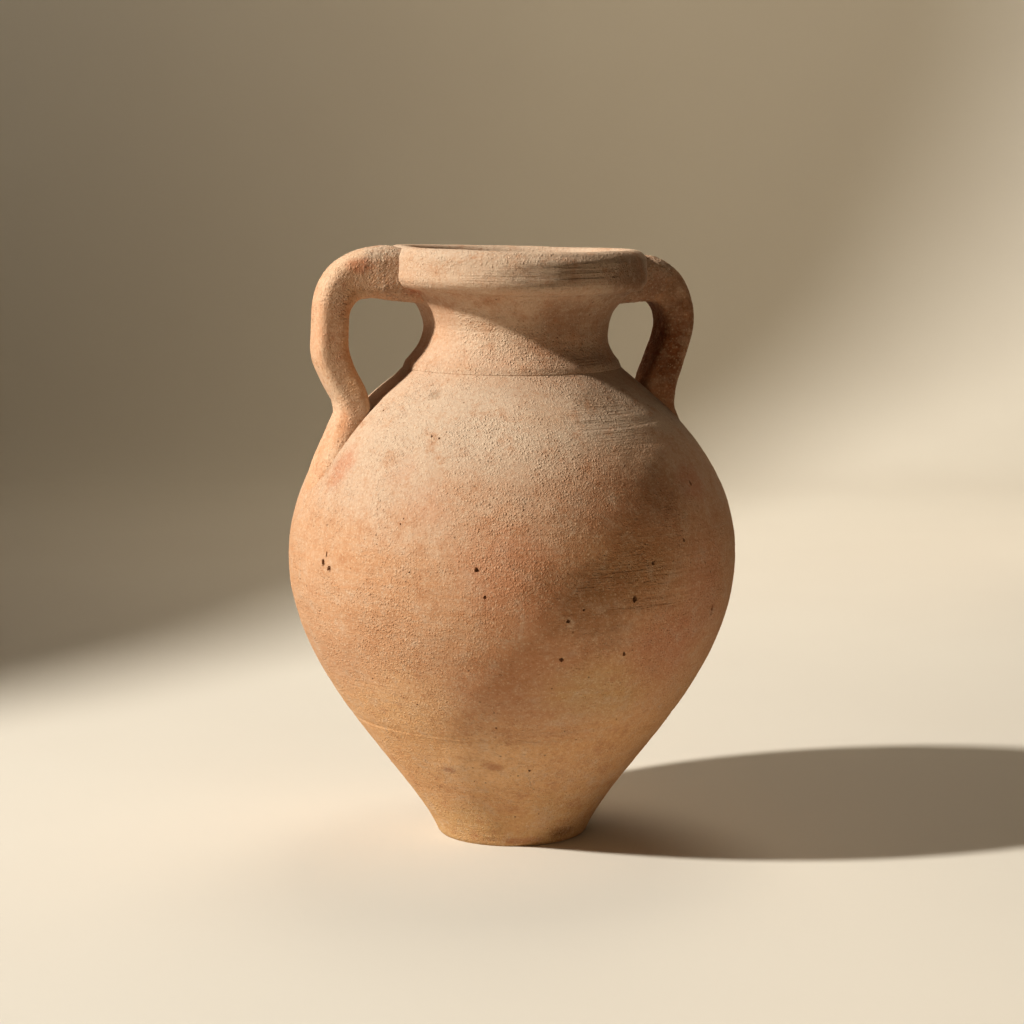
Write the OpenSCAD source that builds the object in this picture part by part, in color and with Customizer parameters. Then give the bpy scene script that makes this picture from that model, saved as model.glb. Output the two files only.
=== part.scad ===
// Two-handled pottery amphora: thrown sections luted together, with two strap handles from collar to shoulder.
// Millimetres. The axis of the pot is Z, it stands on z = 0, and the handles lie in the XZ plane.

/* [Body] */
// Radius of the flat foot
foot_r = 50.5; // [46:0.5:56]
// Thickness of the base disc
base_t = 12; // [9:1:15]
// Largest radius of the belly
belly_r = 151.5; // [146:0.5:156]
// Height of the widest part of the belly
belly_z = 192; // [186:1:198]
// Place of the joint between lower body and belly, as a share of the curve from foot to widest part
joint_share = 0.51; // [0.4:0.01:0.6]
// Wall thickness of the body
wall = 8; // [6:0.5:9]

/* [Neck and collar] */
// Height of the joint between shoulder and neck
shoulder_z = 322; // [318:1:326]
// Radius of the shoulder where the neck sits on it
shoulder_r = 71.5; // [69:0.5:74]
// Outer radius at the waist of the neck
neck_r = 62.5; // [60:0.5:65]
// Radius of the straight bore inside the neck
bore_r = 52; // [48:0.5:54]
// Height of the neck, from the shoulder to the underside of the collar
neck_h = 49; // [47:1:51]
// Height of the collar that makes the rim
collar_h = 29; // [26:1:32]
// Outer radius of the collar
collar_r = 88; // [86:0.5:90]
// Inner radius of the mouth
mouth_r = 71; // [69:0.5:73]
// Thickness of the clay coil pressed round the foot of the neck
coil_t = 5; // [4:0.5:8]

/* [Handles] */
// Distance from the axis to the outermost point of the left handle
left_reach = 138; // [132:1:142]
// Distance from the axis to the outermost point of the right handle
right_reach = 122; // [118:1:130]
// Distance from the axis to the middle of the left handle where it meets the shoulder
left_foot_r = 108; // [104:1:112]
// Distance from the axis to the middle of the right handle where it meets the shoulder
right_foot_r = 100; // [96:1:104]
// Width of the strap
strap_w = 34; // [30:1:38]
// Thickness of the strap at the bow
strap_t = 18; // [15:0.5:21]
// Depth of the strap where it leaves the collar
root_t = 30; // [27:0.5:32]
// Height of the outermost point of the handles
bow_z = 350; // [346:1:354]

/* [Hidden] */
$fn = 96;

rim_z = shoulder_z + neck_h;
total_h = rim_z + collar_h;
neck_top_r = neck_r + 14.5;
steps = 14;

// Cubic curve through a and d, pulled towards b and c.
function curve(p, t) =
    pow(1 - t, 3) * p[0] + 3 * pow(1 - t, 2) * t * p[1] + 3 * (1 - t) * t * t * p[2] + pow(t, 3) * p[3];
function slope(p, t) =
    3 * pow(1 - t, 2) * (p[1] - p[0]) + 6 * (1 - t) * t * (p[2] - p[1]) + 3 * t * t * (p[3] - p[2]);
function normal(p, t) = [slope(p, t)[1], -slope(p, t)[0]] / norm(slope(p, t));
function off(p, t, d) = curve(p, t) + d * normal(p, t);
function run(p, t0, t1, d = 0, n = steps) = [for (i = [0:n]) off(p, t0 + (t1 - t0) * i / n, d)];
function arc(c, r, a0, a1, n = 6) =
    [for (i = [0:n]) c + r * [cos(a0 + (a1 - a0) * i / n), sin(a0 + (a1 - a0) * i / n)]];

// Outer outlines in the (radius, height) plane.
LOWER = [[foot_r, 0], [foot_r + 18, 46], [belly_r, belly_z - 82], [belly_r, belly_z]];
UPPER = [
    [belly_r, belly_z], [belly_r, belly_z + 81],
    [shoulder_r + 3, shoulder_z - 10], [shoulder_r, shoulder_z]
];
neck_pull_r = (8 * neck_r - shoulder_r - neck_top_r) / 6;
NECK = [
    [shoulder_r, shoulder_z], [neck_pull_r, shoulder_z + 16],
    [neck_pull_r, rim_z - 15], [neck_top_r, rim_z]
];
// The collar is rounded below by one radius and at the lip by another.
under = 5.5;
lip = 7;
COLLAR = concat(
    arc([collar_r - under, rim_z + 1 + under], under, -80, 0),
    arc([collar_r - lip - 2, total_h - lip - 2], lip + 2, 0, 90)
);
// Share of the lower curve that the edge of the base disc takes up.
base_share = 0.085;
// Thickness of the soft clay packed round the top of each handle.
packing_t = 3;
// Joint faces slope: the inside edge of each joint is this much further up the curve.
lap = 0.02;
// Where the neck meets the collar on the inside.
throat = [bore_r + 10, rim_z - 4];

module turn() {
    rotate_extrude() children();
}

module base_section() {
    inner = off(LOWER, base_share + lap, -wall);
    polygon(concat([[0, 0]], run(LOWER, 0, base_share, 0, 4), [inner, [0, base_t]]));
}

module lower_section() {
    polygon(concat(
        run(LOWER, base_share, joint_share),
        run(LOWER, joint_share + lap, base_share + lap, -wall)
    ));
}

module belly_section() {
    polygon(concat(
        run(LOWER, joint_share, 1),
        run(LOWER, 1, joint_share + lap, -wall)
    ));
}

module shoulder_section() {
    polygon(concat(
        run(UPPER, 0, 1),
        run(UPPER, 1, 0, -wall)
    ));
}

module neck_section() {
    shoulder_inside = off(UPPER, 1, -wall);
    polygon(concat(
        run(NECK, 0, 1),
        [throat, [bore_r, rim_z - 14], [bore_r, shoulder_z + 10], shoulder_inside]
    ));
}

module collar_section() {
    throat_curve = [[mouth_r, total_h - lip], [mouth_r - 1, rim_z + 9], [mouth_r - 5, rim_z + 1], throat];
    polygon(concat(
        [[neck_top_r, rim_z]],
        COLLAR,
        arc([mouth_r + lip, total_h - lip], lip, 90, 165),
        run(throat_curve, 0, 1, 0, 6)
    ));
}

// Everything inside the outer outline of the pot, for trimming what is pressed on to it.
module filled_pot() {
    turn() polygon(concat(
        [[0, 0]],
        run(LOWER, 0, 1),
        run(UPPER, 0.05, 1),
        run(NECK, 0.05, 1),
        COLLAR,
        [[0, total_h]]
    ));
}

// The handle's middle line, from inside the collar out to the bow and down to the shoulder.
function upper_line(reach) = let (mid = reach - strap_t / 2, top = total_h - root_t / 2 - packing_t)
    [[neck_top_r + 2, top], [mid * 0.86, top + 4], [mid, bow_z + 28], [mid, bow_z]];
function lower_line(reach, foot) = let (mid = reach - strap_t / 2)
    [[mid, bow_z], [mid, bow_z - 20], [mid - 6, bow_z - 40], foot];
// Share of the shoulder's curve at which it has radius r, found by halving.
function share_at(r, lo = 0, hi = 1, n = 12) = let (t = (lo + hi) / 2)
    n == 0 ? t
    : curve(UPPER, t)[0] > r ? share_at(r, t, hi, n - 1) : share_at(r, lo, t, n - 1);

// A ring of a strap: a rounded oblong of half-depth h and half-width w, across the line p at t.
ring_n = 16;
function round_power(v) = sign(v) * pow(abs(v), 0.7);
function ring(p, t, h, w, shift = 0) = let (c = off(p, t, shift), n = normal(p, t))
    [for (j = [0:ring_n - 1]) let (
        a = 360 * j / ring_n,
        q = c + h * round_power(cos(a)) * n
    ) [q[0], w * round_power(sin(a)), q[1]]];
// A closed skin over a list of rings.
module skin(rings) {
    m = len(rings);
    sides = [for (i = [0:m - 2]) for (j = [0:ring_n - 1]) let (k = (j + 1) % ring_n)
        [i * ring_n + j, (i + 1) * ring_n + j, (i + 1) * ring_n + k, i * ring_n + k]];
    first = [for (j = [0:ring_n - 1]) j];
    last = [for (j = [0:ring_n - 1]) (m - 1) * ring_n + ring_n - 1 - j];
    polyhedron([for (r = rings) for (v = r) v], concat(sides, [first, last]), convexity = 6);
}

function root_depth(t) = (root_t + (strap_t - root_t) * pow(sin(90 * t), 1.6)) / 2;
module strap(reach, foot_r) {
    foot = curve(UPPER, share_at(foot_r)) - [2, 4];
    up = upper_line(reach);
    down = lower_line(reach, foot);
    skin(concat(
        [for (i = [0:10]) ring(up, i / 10, root_depth(i / 10), strap_w / 2)],
        [for (i = [1:8]) ring(down, i / 8, strap_t / 2, strap_w / 2)]
    ));
}

// The thumbed-down end of the strap: a tongue that follows the shoulder and thins out downwards.
module tongue(reach, foot_r) {
    t0 = share_at(foot_r - 7);
    t1 = share_at(foot_r + 27);
    n = 9;
    skin([for (i = [0:n]) let (s = i / n)
        ring(UPPER, t0 + (t1 - t0) * s, 17 - 12 * s, strap_w / 2 + 1 + 9 * s * s - 14 * pow(s, 6), -3)]);
}

// Soft clay packed round the strap where it meets the collar.
module packing(reach) {
    up = upper_line(reach);
    skin([for (i = [0:5]) let (t = 0.02 + i * 0.07, more = packing_t * (1 - 0.13 * i))
        ring(up, t, root_depth(t) + more, strap_w / 2 + more)]);
}

module side(left) {
    rotate([0, 0, left ? 180 : 0]) children();
}

module base_disc() {
    color("#b98a5e") turn() base_section();
}

module lower_body() {
    color("#c59a6b") turn() lower_section();
}

module belly() {
    color("#d2a373") turn() belly_section();
}

module shoulder() {
    color("#d8ad80") turn() shoulder_section();
}

module neck() {
    color("#dcb489") turn() neck_section();
}

module rim_collar() {
    color("#dfba90") turn() collar_section();
}

module neck_coil() {
    color("#cfa276") turn() difference() {
        translate([shoulder_r + 0.3, shoulder_z + 1]) circle(d = coil_t, $fn = 24);
        shoulder_section();
        neck_section();
        translate([0, shoulder_z - 30]) square([shoulder_r - 5, 60]);
    }
}

module handle(left, reach, foot_r) {
    color("#d9ae80") difference() {
        side(left) strap(reach, foot_r);
        filled_pot();
    }
}

module handle_tail(left, reach, foot_r) {
    color("#cda074") difference() {
        side(left) tongue(reach, foot_r);
        side(left) strap(reach, foot_r);
        filled_pot();
    }
}

module handle_luting(left, reach, foot_r) {
    color("#c79a70") difference() {
        side(left) packing(reach);
        side(left) strap(reach, foot_r);
        filled_pot();
    }
}

module handle_left() {
    handle(true, left_reach, left_foot_r);
}

module handle_right() {
    handle(false, right_reach, right_foot_r);
}

module handle_left_tail() {
    handle_tail(true, left_reach, left_foot_r);
}

module handle_right_tail() {
    handle_tail(false, right_reach, right_foot_r);
}

module handle_left_luting() {
    handle_luting(true, left_reach, left_foot_r);
}

module handle_right_luting() {
    handle_luting(false, right_reach, right_foot_r);
}

base_disc();
lower_body();
belly();
shoulder();
neck_coil();
neck();
rim_collar();
handle_left();
handle_right();
handle_left_tail();
handle_right_tail();
handle_left_luting();
handle_right_luting();
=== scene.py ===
# %% [markdown]
# # A two-handled pottery jar
# The jar is unglazed, sandy clay: a flat foot, a round belly thrown in sections, a waisted neck, a thick
# collar and two pulled strap handles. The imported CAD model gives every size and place. This script gives
# the clay: throwing ridges, lumps, pits, grit, smeared joints and the colours of the firing.

# %% The fixed frame
import math

import bmesh
import bpy
import numpy as np
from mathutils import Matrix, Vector, noise
from mathutils.kdtree import KDTree


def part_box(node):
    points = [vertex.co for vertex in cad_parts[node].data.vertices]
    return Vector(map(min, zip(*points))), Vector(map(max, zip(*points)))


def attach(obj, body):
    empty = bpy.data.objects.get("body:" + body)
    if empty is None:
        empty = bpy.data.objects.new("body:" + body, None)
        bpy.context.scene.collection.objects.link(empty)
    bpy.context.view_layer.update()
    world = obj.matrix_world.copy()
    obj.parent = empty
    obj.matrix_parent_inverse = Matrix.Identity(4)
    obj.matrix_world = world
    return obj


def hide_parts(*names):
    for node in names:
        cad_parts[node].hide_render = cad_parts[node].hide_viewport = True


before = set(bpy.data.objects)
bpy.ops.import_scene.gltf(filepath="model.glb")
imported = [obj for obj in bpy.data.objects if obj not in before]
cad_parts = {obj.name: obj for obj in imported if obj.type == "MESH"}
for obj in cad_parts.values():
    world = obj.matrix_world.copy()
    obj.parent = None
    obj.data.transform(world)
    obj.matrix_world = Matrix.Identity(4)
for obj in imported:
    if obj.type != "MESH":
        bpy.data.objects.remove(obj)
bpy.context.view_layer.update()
MM = 0.001

# %% [markdown]
# ## Measuring the pot
# Every outline starts from the CAD nodes' own boxes, so the clay can't drift from the frame. One radius
# isn't in a box, that of a ring of points at some height, so a small helper reads it from the node's mesh.

# %% Heights and radii from the frame


def ring_radius(node, height):
    """Largest radius of the node's points at one height."""
    points = np.array([v.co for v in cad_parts[node].data.vertices])
    ring = points[abs(points[:, 2] - height) < 0.3 * MM]
    return float(np.hypot(ring[:, 0], ring[:, 1]).max())


foot_r = ring_radius("base_disc", 0)
disc_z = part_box("lower_body")[0].z
joint_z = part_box("belly")[0].z
belly_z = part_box("belly")[1].z
belly_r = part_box("belly")[1].x
shoulder_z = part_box("shoulder")[1].z
shoulder_r = ring_radius("shoulder", shoulder_z)
rim_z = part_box("neck")[1].z
neck_top_r = ring_radius("neck", rim_z)
collar_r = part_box("rim_collar")[1].x
top_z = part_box("rim_collar")[1].z
left_reach = -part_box("handle_left")[0].x
right_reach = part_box("handle_right")[1].x

# Four sizes that no box gives: the wall, the neck's waist and its bore, and the mouth.
WALL = 8 * MM
NECK_WAIST = 62.5 * MM
BORE = 52 * MM
MOUTH = 71 * MM
print(f"belly radius {belly_r / MM:.1f} at {belly_z / MM:.0f} mm, rim at {top_z / MM:.0f} mm")

# %% [markdown]
# ## The outline of a thrown pot
# A potter's profile is a few long sweeps, so three cubic curves are enough: foot to belly, belly to
# shoulder, and the waisted neck. Each point also carries the direction that faces out of the clay. Ridges
# and lumps are pushed along that direction later, and as two neighbouring sections share it at their joint,
# they stay closed there.

# %% Curves in the plane of radius and height


def cubic(pull):
    """A cubic curve from its two ends and two pulls, as a function of shares of its length."""
    p = np.array(pull, float)

    def at(t, inset=0.0):
        t = np.atleast_1d(t)[:, None]
        place = (1 - t) ** 3 * p[0] + 3 * (1 - t) ** 2 * t * p[1] + 3 * (1 - t) * t**2 * p[2] + t**3 * p[3]
        way = (1 - t) ** 2 * (p[1] - p[0]) + 2 * (1 - t) * t * (p[2] - p[1]) + t**2 * (p[3] - p[2])
        out = np.stack([way[:, 1], -way[:, 0]], 1) / np.linalg.norm(way, axis=1)[:, None]
        return place - inset * out, out

    return at


lower_curve = cubic([
    (foot_r, 0), (foot_r + 18 * MM, 46 * MM), (belly_r, belly_z - 82 * MM), (belly_r, belly_z)])
upper_curve = cubic([
    (belly_r, belly_z), (belly_r, belly_z + 81 * MM),
    (shoulder_r + 3 * MM, shoulder_z - 10 * MM), (shoulder_r, shoulder_z)])
neck_pull = (8 * NECK_WAIST - shoulder_r - neck_top_r) / 6
neck_curve = cubic([
    (shoulder_r, shoulder_z), (neck_pull, shoulder_z + 16 * MM),
    (neck_pull, rim_z - 15 * MM), (neck_top_r, rim_z)])


def share_at(curve, height):
    """The share of a rising curve at which it reaches a height, by halving."""
    low, high = 0.0, 1.0
    for _ in range(30):
        middle = (low + high) / 2
        if curve(middle)[0][0, 1] < height:
            low = middle
        else:
            high = middle
    return low


def pot_radius(height):
    """Radius of the smooth outside at a height."""
    for curve, top in ((lower_curve, belly_z), (upper_curve, shoulder_z), (neck_curve, rim_z)):
        if height <= top:
            return float(curve(share_at(curve, height))[0][0, 0])
    return collar_r


# %% [markdown]
# ## Sections of the wall
# A section is a closed loop of points: up the outside in small steps, across the joint, and down the inside
# in larger ones, because nobody looks closely at the inside. Points on the joint faces carry no direction,
# so they stay flat and the two pieces of clay touch.

# %% Building blocks for a section


def stretch(curve, t0, t1, step, inset=0.0):
    """Points along a curve about one step apart, with the direction out of the clay."""
    ends = curve(np.linspace(t0, t1, 60), inset)[0]
    length = np.linalg.norm(np.diff(ends, axis=0), axis=1).sum()
    count = max(2, round(length / step))
    place, out = curve(np.linspace(t0, t1, count + 1), inset)
    return np.hstack([place, out if inset == 0 else -out])


def bow(centre, radius, a0, a1, step=1.0 * MM):
    """Points round an arc, facing away from its centre."""
    count = max(2, round(abs(math.radians(a1 - a0)) * radius / step))
    a = np.radians(np.linspace(a0, a1, count + 1))
    out = np.stack([np.cos(a), np.sin(a)], 1)
    return np.hstack([np.array(centre) + radius * out, out])


def straight(a, b, step=2.0 * MM, facing=(0.0, 0.0)):
    """Points between two corners, without the corners themselves."""
    a, b = np.array(a, float), np.array(b, float)
    count = max(2, round(np.linalg.norm(b - a) / step))
    t = np.linspace(0, 1, count + 1)[1:-1, None]
    return np.hstack([a + t * (b - a), np.tile(facing, (len(t), 1))])


def closed_wall(curve, t0, t1, lap, step):
    """Outside up, joint face, inside down, joint face."""
    outside = stretch(curve, t0, t1, step)
    inside = stretch(curve, min(t1 + lap, 1), t0 + lap, 3.2 * MM, WALL)
    across_top = straight(outside[-1, :2], inside[0, :2])
    across_foot = straight(inside[-1, :2], outside[0, :2])
    return np.vstack([outside, across_top, inside, across_foot])


LAP = 0.02
disc_share = share_at(lower_curve, disc_z)
joint_share = share_at(lower_curve, joint_z)

# %% [markdown]
# The belly and the shoulder meet where the pot is widest, and the lower body meets the belly at the turned
# line. The disc is an open line from the axis round to the axis, so that its two middles close to a point.

# %% The sections of disc, body, neck and collar


def disc_section():
    inside_edge = lower_curve(disc_share + LAP, WALL)[0][0]
    under = straight((0, 0), (foot_r - 1.2 * MM, 0), 3 * MM, (0, -0.3))
    heel = bow((foot_r - 1.2 * MM, 1.2 * MM), 1.2 * MM, -90, -10, 0.5 * MM)
    edge = stretch(lower_curve, share_at(lower_curve, 1.5 * MM), disc_share, 1.2 * MM)
    top = straight(inside_edge, (0, 12 * MM), 3 * MM, (0, 1))
    joint = straight(edge[-1, :2], inside_edge)
    first = np.array([[0, 0, 0, 0]])
    corner = np.array([[*inside_edge, 0, 1]])
    last = np.array([[0, 12 * MM, 0, 1]])
    return np.vstack([first, under, heel, edge, joint, corner, top, last])


def neck_section():
    outside = stretch(neck_curve, 0, 1, 1.0 * MM)
    foot_inside = upper_curve(1.0, WALL)[0][0]
    throat = (BORE + 10 * MM, rim_z - 4 * MM)
    joint = straight(outside[-1, :2], throat)
    flare = straight(throat, (BORE, rim_z - 14 * MM), 2 * MM, (-0.6, 0.8))
    bore = straight((BORE, rim_z - 13 * MM), (BORE, shoulder_z + 9 * MM), 2 * MM, (-1, 0))
    funnel = straight((BORE, shoulder_z + 10 * MM), foot_inside, 2 * MM, (-0.7, -0.7))
    corner = np.array([[*throat, 0, 0]])
    end = np.array([[*foot_inside, 0, 0]])
    underside = straight(foot_inside, outside[0, :2])
    return np.vstack([outside, joint, corner, flare, bore, funnel, end, underside])


def collar_section():
    """A rounded band: tight corner underneath, soft slope to the lip, and a throat that narrows inside."""
    under, lip = 8.5 * MM, 7 * MM
    throat = (BORE + 10 * MM, rim_z - 4 * MM)
    slope_r = lip + 2 * MM
    first = np.array([[neck_top_r, rim_z, 0.3, -0.95]])
    below = straight((neck_top_r, rim_z), (collar_r - under, rim_z + 1.2 * MM), 1 * MM, (0, -1))
    corner = bow((collar_r - under, rim_z + 1 * MM + under), under, -80, 0, 0.8 * MM)
    face = straight(corner[-1, :2], (collar_r - 0.3 * MM, top_z - slope_r), 1.1 * MM, (1, 0))
    shoulder = bow((collar_r - slope_r - 0.3 * MM, top_z - slope_r), slope_r, 0, 84, 1 * MM)
    inner = bow((MOUTH + lip, top_z - lip), lip, 96, 180, 1 * MM)
    throat_curve = cubic([
        (MOUTH, top_z - lip), (MOUTH - 1 * MM, rim_z + 9 * MM), (MOUTH - 5 * MM, rim_z + 1 * MM), throat])
    way_down = stretch(throat_curve, 0.05, 1, 1.6 * MM)
    way_down[-1, 2:] = 0
    underside = straight(throat, (neck_top_r, rim_z))
    return np.vstack([first, below, corner, face, shoulder, inner, way_down, underside])


def coil_section():
    """A thin band of soft clay over the foot of the neck, with a small step below."""
    step_t = share_at(upper_curve, shoulder_z - 2.5 * MM)
    low, low_out = upper_curve(step_t)
    rise = stretch(neck_curve, 0.02, 0.36, 0.9 * MM)
    fade = np.linspace(1.3, -0.6, len(rise))[:, None] * MM
    rise[:, :2] += fade * rise[:, 2:]
    low_edge = (low - 1.0 * MM * low_out)[0]
    start = np.array([[*(low + 0.35 * MM * low_out)[0], *low_out[0]]])
    back = stretch(neck_curve, 0.36, 0.02, 2.4 * MM)
    back[:, :2] -= 1.6 * MM * back[:, 2:]
    back[:, 2:] = 0
    return np.vstack([start, rise, back, [[*low_edge, 0, 0]]])


sections = {
    "base_disc": (disc_section(), 360),
    "lower_body": (closed_wall(lower_curve, disc_share, joint_share, LAP, 1.4 * MM), 480),
    "belly": (closed_wall(lower_curve, joint_share, 1.0, LAP, 1.55 * MM), 600),
    "shoulder": (closed_wall(upper_curve, 0.0, 1.0, 0.0, 1.7 * MM), 540),
    "neck": (neck_section(), 440),
    "rim_collar": (collar_section(), 520),
    "neck_coil": (coil_section(), 520),
}
for name, (section, around) in sections.items():
    print(f"{name}: {len(section)} points in the section, {around} round the pot")

# %% [markdown]
# ## Throwing on the wheel, in Geometry Nodes
# A thrown wall is one section turned round an axis, with marks that the fingers leave as the clay spins.
# Screw or Spin could turn the section, but then the marks would need a second tool. Geometry Nodes do both:
# a grid is wrapped round the axis, each row reading its point from the section, and noise that is stretched
# flat pushes the surface in and out. The inputs have names, so each section of the pot can have its own
# ridges and lumps.

# %% Small helpers for objects and node trees


def put(name, data):
    """Makes an object of a mesh, a light or a camera and puts it in the scene."""
    made = bpy.data.objects.new(name, data)
    bpy.context.scene.collection.objects.link(made)
    return made


def fill(tree, slot, value):
    """Gives an input a fixed value, or links it to another node's output."""
    if isinstance(value, bpy.types.NodeSocket):
        tree.links.new(value, slot)
    else:
        slot.default_value = value


def node_maker(tree):
    """Returns a function that adds a node, sets its options and fills its inputs."""

    def add(kind, inputs=None, **options):
        node = tree.nodes.new(kind)
        for option, value in options.items():
            setattr(node, option, value)
        for label, value in (inputs or {}).items():
            fill(tree, node.inputs[label], value)
        return node

    return add


def link_maths(tree, kind):
    """Returns a function that adds a maths node and gives back its output."""

    def maths(operation, *values, clamp=False):
        node = tree.nodes.new("ShaderNodeVectorMath" if kind == "vector" else "ShaderNodeMath")
        node.operation = operation
        if kind == "number":
            node.use_clamp = clamp
        for slot, value in zip(node.inputs, values):
            fill(tree, slot, value)
        if operation in ("DOT_PRODUCT", "LENGTH"):
            return node.outputs["Value"]
        return node.outputs[0]

    return maths


def node_group(name, numbers, whole=()):
    """A Geometry Nodes tree with a mesh in and out, named numbers and a clay material."""
    tree = bpy.data.node_groups.new(name, "GeometryNodeTree")
    tree.interface.new_socket("Geometry", in_out="INPUT", socket_type="NodeSocketGeometry")
    for label in whole:
        tree.interface.new_socket(label, in_out="INPUT", socket_type="NodeSocketInt")
    for label in numbers:
        tree.interface.new_socket(label, in_out="INPUT", socket_type="NodeSocketFloat")
    tree.interface.new_socket("Clay", in_out="INPUT", socket_type="NodeSocketMaterial")
    tree.interface.new_socket("Geometry", in_out="OUTPUT", socket_type="NodeSocketGeometry")
    start = tree.nodes.new("NodeGroupInput")
    end = tree.nodes.new("NodeGroupOutput")
    return tree, start.outputs, end.inputs["Geometry"]


def run_tree(tree, base, name, values):
    """Runs a tree on an object with its named inputs set, and gives back a plain mesh object."""
    modifier = base.modifiers.new(tree.name, "NODES")
    modifier.node_group = tree
    for item in tree.interface.items_tree:
        if item.in_out == "INPUT" and item.name in values:
            modifier[item.identifier] = values[item.name]
    bpy.context.view_layer.update()
    made = bpy.data.meshes.new_from_object(base.evaluated_get(bpy.context.evaluated_depsgraph_get()))
    bpy.data.objects.remove(base)
    made.name = name
    made.materials.clear()
    made.materials.append(values["Clay"])
    made.polygons.foreach_set("material_index", [0] * len(made.polygons))
    return put(name, made)


# %% The thrown wall tree


RELIEF = ("Ridge Depth", "Ridge Spacing", "Lump Depth", "Grit Depth", "Seed")


def relief_values(ridge, spacing, lump, grit, seed, material):
    """The named inputs of a tree with relief. Depths and spacing are in mm."""
    values = dict(zip(RELIEF, (ridge * MM, spacing * MM, lump * MM, grit * MM, seed)))
    return {**values, "Clay": material}


def clay_relief(add, inputs, number, vector):
    """How far each point is pushed out: flat ridges that come and go, broad lumps, and grit."""
    place = add("GeometryNodeInputPosition").outputs[0]

    def cloud(scale, detail=2.0, rough=0.5, shift=0.0):
        moved = vector("ADD", vector("MULTIPLY", place, scale), (shift, shift, shift))
        seeded = add("ShaderNodeCombineXYZ", {0: inputs["Seed"]})
        node = add("ShaderNodeTexNoise", {
            "Scale": 1.0, "Detail": detail, "Roughness": rough,
            "Vector": vector("ADD", moved, seeded.outputs[0])})
        return number("SUBTRACT", node.outputs[0], 0.5)

    flat = add("ShaderNodeCombineXYZ", {0: 5.0, 1: 5.0, 2: number("DIVIDE", 1.0, inputs["Ridge Spacing"])})
    ridge = cloud(flat.outputs[0], 1.0)
    strength = number("ADD", cloud((9, 9, 22), 1.0, 0.5, 7.3), 0.55, clamp=True)
    ridge = number("MULTIPLY", number("MULTIPLY", ridge, strength), inputs["Ridge Depth"])
    lump = number("MULTIPLY", cloud((24, 24, 30), 2.0, 0.5, 3.1), inputs["Lump Depth"])
    grit = number("MULTIPLY", cloud((480, 480, 480), 1.0, 0.5, 1.7), inputs["Grit Depth"])
    return number("ADD", ridge, number("ADD", lump, grit))


def push_out(add, geometry, along, amount):
    """Moves every point along a direction, by an amount of its own."""
    scaled = add("ShaderNodeVectorMath", {0: along, "Scale": amount}, operation="SCALE")
    return add("GeometryNodeSetPosition", {"Geometry": geometry, "Offset": scaled.outputs[0]}).outputs[0]


def finish_tree(add, geometry, inputs, result):
    """Every tree ends the same way: real geometry, smooth, in its clay."""
    real = add("GeometryNodeRealizeInstances", {0: geometry})
    smooth = add("GeometryNodeSetShadeSmooth", {0: real.outputs[0]})
    dress = add("GeometryNodeSetMaterial", {"Geometry": smooth.outputs[0], "Material": inputs["Clay"]})
    result.id_data.links.new(dress.outputs[0], result)


CLOSE_GAP = 0.005 * MM


def thrown_wall_tree():
    tree, inputs, result = node_group("Thrown wall", RELIEF, ("Rows", "Around"))
    number, vector, add = link_maths(tree, "number"), link_maths(tree, "vector"), node_maker(tree)
    place = add("GeometryNodeInputPosition").outputs[0]
    grid = add("GeometryNodeMeshGrid", {
        "Vertices X": number("ADD", inputs["Rows"], 1.0), "Vertices Y": number("ADD", inputs["Around"], 1.0)})
    spot = add("ShaderNodeSeparateXYZ", {0: place}).outputs
    row = number("ROUND", number("MULTIPLY", number("ADD", spot[0], 0.5), inputs["Rows"]))
    turn = number("MULTIPLY", number("ADD", spot[1], 0.5), math.tau)
    points = add("GeometryNodeAttributeDomainSize", {"Geometry": inputs["Geometry"]})
    row = number("MODULO", row, points.outputs["Point Count"])

    def named(label):
        node = add("GeometryNodeInputNamedAttribute", {"Name": label}, data_type="FLOAT_VECTOR")
        return node.outputs["Attribute"]

    def round_the_axis(value):
        """Reads a value from this row's point of the section and turns it round the axis."""
        given = {"Geometry": inputs["Geometry"], "Value": value, "Index": row}
        pick = add("GeometryNodeSampleIndex", given, data_type="FLOAT_VECTOR", domain="POINT")
        parts = add("ShaderNodeSeparateXYZ", {0: pick.outputs[0]}).outputs
        return add("ShaderNodeCombineXYZ", {
            0: number("MULTIPLY", parts[0], number("COSINE", turn)),
            1: number("MULTIPLY", parts[0], number("SINE", turn)), 2: parts[2]}).outputs[0]

    keep = add("GeometryNodeStoreNamedAttribute", {
        "Name": "push", "Geometry": grid.outputs["Mesh"], "Value": round_the_axis(named("facing")),
    }, data_type="FLOAT_VECTOR", domain="POINT")
    wrap = add("GeometryNodeSetPosition", {
        "Geometry": keep.outputs["Geometry"], "Position": round_the_axis(place)})
    close = add("GeometryNodeMergeByDistance", {
        "Distance": CLOSE_GAP, "Geometry": wrap.outputs["Geometry"]})
    flip = add("GeometryNodeFlipFaces", {"Mesh": close.outputs["Geometry"]})
    relief = clay_relief(add, inputs, number, vector)
    pressed = push_out(add, flip.outputs["Mesh"], named("push"), relief)
    clean = add("GeometryNodeRemoveAttribute", {"Name": "push", "Geometry": pressed})
    finish_tree(add, clean.outputs["Geometry"], inputs, result)
    return tree


thrown_wall = thrown_wall_tree()
print("the thrown wall tree has", len(thrown_wall.nodes), "nodes")

# %% [markdown]
# ## Clay
# Unglazed clay has no single colour. The fire leaves it peach and cream where a thin slip dried on the
# shoulder, orange on the belly, and olive or brown near the foot, with clouds where the air changed in the
# kiln. All pieces read the same Object coordinates, so a cloud runs over a joint as it does on the real
# pot. On top comes the sand: pale and dark grains about a millimetre wide, and the fine bumps that catch a
# low light.
# Some clouds and marks are painted shade and painted light, not colours of the clay itself.

# %% Small helpers for materials


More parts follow.
